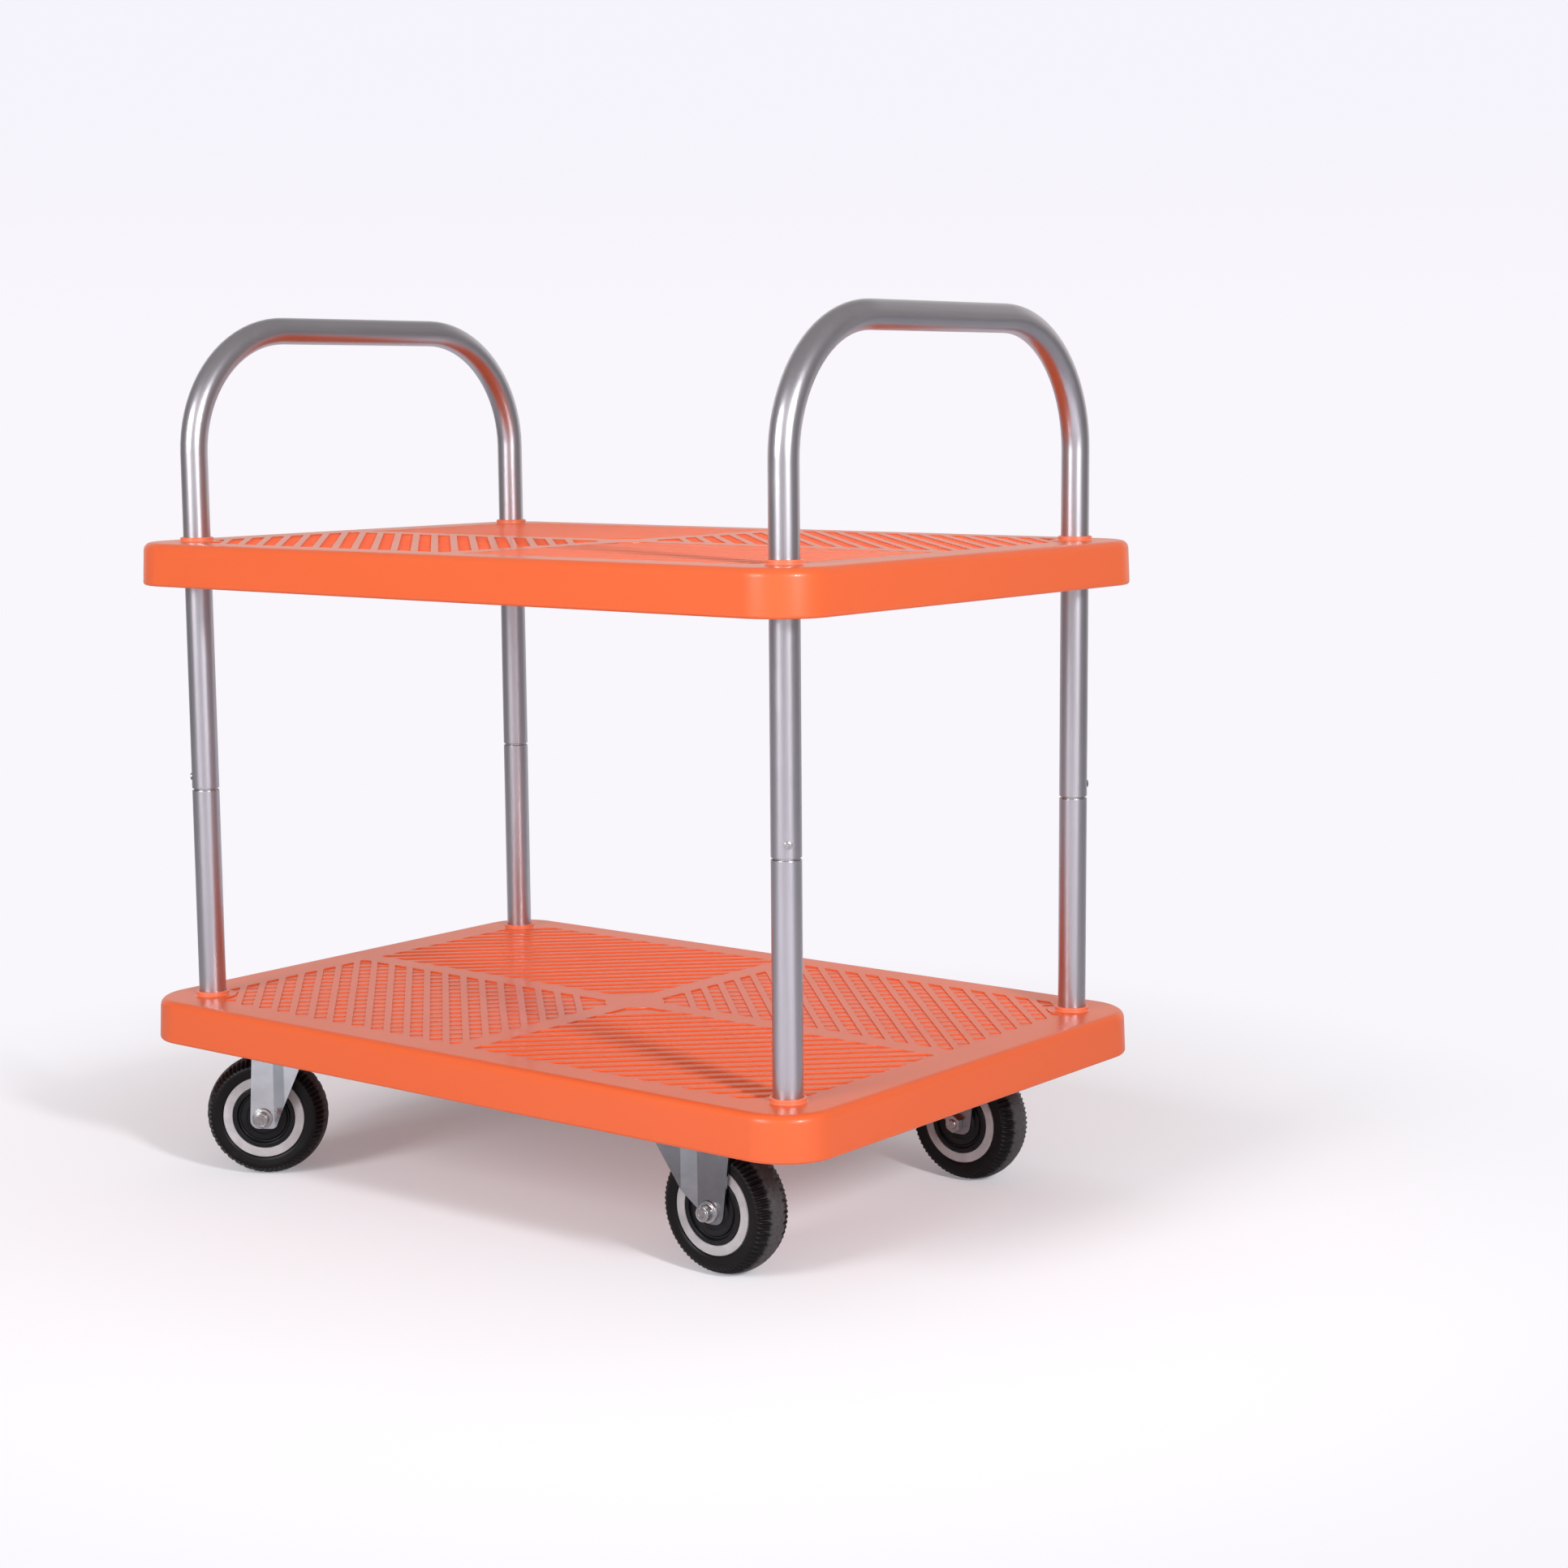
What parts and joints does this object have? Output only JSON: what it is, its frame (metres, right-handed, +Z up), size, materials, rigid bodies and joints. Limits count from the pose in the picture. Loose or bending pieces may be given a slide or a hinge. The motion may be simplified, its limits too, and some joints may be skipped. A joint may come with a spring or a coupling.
{
  "type": "two-tier platform trolley",
  "caption": "Two-tier platform trolley with moulded decks on steel tube posts, U-shaped push handles at the ends, swivel casters at the rear and fixed casters at the front.",
  "frame": {"origin": "on the floor, under the middle of the decks", "axes": "+X along the 900 mm side towards the fixed casters, +Y along the 600 mm side, +Z up"},
  "size_m": [0.9, 0.6, 0.9163],
  "materials": {
    "deck_plastic": "satin moulded polypropylene, orange",
    "tube_steel": "brushed, satin",
    "zinc_steel": "zinc plated, bluish",
    "bright_steel": "plated, bright",
    "tyre_rubber": "matte black with a block tread",
    "rim_plastic": "satin grey",
    "cap_plastic": "semi-gloss black"
  },
  "bodies": {
    "chassis": {"lower_deck": "deck_plastic", "upper_deck": "deck_plastic", "front_handle": "tube_steel", "rear_handle": "tube_steel", "front_left_post": "tube_steel", "front_right_post": "tube_steel", "rear_left_post": "tube_steel", "rear_right_post": "tube_steel", "front_left_coupling": "bright_steel", "front_right_coupling": "bright_steel", "rear_left_coupling": "bright_steel", "rear_right_coupling": "bright_steel", "front_left_rivet": "bright_steel", "front_right_rivet": "bright_steel", "rear_left_rivet": "bright_steel", "rear_right_rivet": "bright_steel", "front_left_deck_screw": "bright_steel", "front_right_deck_screw": "bright_steel", "rear_left_deck_screw": "bright_steel", "rear_right_deck_screw": "bright_steel", "rear_left_swivel_plate": "zinc_steel", "rear_right_swivel_plate": "zinc_steel", "rear_left_ball_race": "zinc_steel", "rear_right_ball_race": "zinc_steel", "rear_left_kingpin": "bright_steel", "rear_right_kingpin": "bright_steel", "front_left_bracket": "zinc_steel", "front_right_bracket": "zinc_steel", "front_left_axle_bolt": "bright_steel", "front_right_axle_bolt": "bright_steel", "front_left_axle_nut": "bright_steel", "front_right_axle_nut": "bright_steel", "front_left_axle_bush": "bright_steel", "front_right_axle_bush": "bright_steel"},
    "rear_left_swivel": {"rear_left_fork": "zinc_steel", "rear_left_axle_bolt": "bright_steel", "rear_left_axle_nut": "bright_steel", "rear_left_axle_bush": "bright_steel"},
    "rear_right_swivel": {"rear_right_fork": "zinc_steel", "rear_right_axle_bolt": "bright_steel", "rear_right_axle_nut": "bright_steel", "rear_right_axle_bush": "bright_steel"},
    "rear_left_wheel": {"rear_left_tyre": "tyre_rubber", "rear_left_rim": "rim_plastic", "rear_left_outer_cap": "cap_plastic", "rear_left_inner_cap": "cap_plastic"},
    "rear_right_wheel": {"rear_right_tyre": "tyre_rubber", "rear_right_rim": "rim_plastic", "rear_right_outer_cap": "cap_plastic", "rear_right_inner_cap": "cap_plastic"},
    "front_left_wheel": {"front_left_tyre": "tyre_rubber", "front_left_rim": "rim_plastic", "front_left_outer_cap": "cap_plastic", "front_left_inner_cap": "cap_plastic"},
    "front_right_wheel": {"front_right_tyre": "tyre_rubber", "front_right_rim": "rim_plastic", "front_right_outer_cap": "cap_plastic", "front_right_inner_cap": "cap_plastic"}
  },
  "joints": [
    {"name": "rear_left_caster_swivel", "type": "hinge", "parent": "chassis", "child": "rear_left_swivel", "pos_m": [-0.302, 0.2055, 0.15], "axis": [0, 0, 1], "continuous": true},
    {"name": "rear_right_caster_swivel", "type": "hinge", "parent": "chassis", "child": "rear_right_swivel", "pos_m": [-0.302, -0.2055, 0.15], "axis": [0, 0, 1], "continuous": true},
    {"name": "rear_left_wheel_roll", "type": "hinge", "parent": "rear_left_swivel", "child": "rear_left_wheel", "pos_m": [-0.33067, 0.18542, 0.06494], "axis": [-0.5736, 0.8192, 0], "continuous": true},
    {"name": "rear_right_wheel_roll", "type": "hinge", "parent": "rear_right_swivel", "child": "rear_right_wheel", "pos_m": [-0.33067, -0.22558, 0.06494], "axis": [-0.5736, 0.8192, 0], "continuous": true},
    {"name": "front_left_wheel_roll", "type": "hinge", "parent": "chassis", "child": "front_left_wheel", "pos_m": [0.292, 0.2055, 0.06494], "axis": [0, 1, 0], "continuous": true},
    {"name": "front_right_wheel_roll", "type": "hinge", "parent": "chassis", "child": "front_right_wheel", "pos_m": [0.292, -0.2055, 0.06494], "axis": [0, 1, 0], "continuous": true}
  ]
}
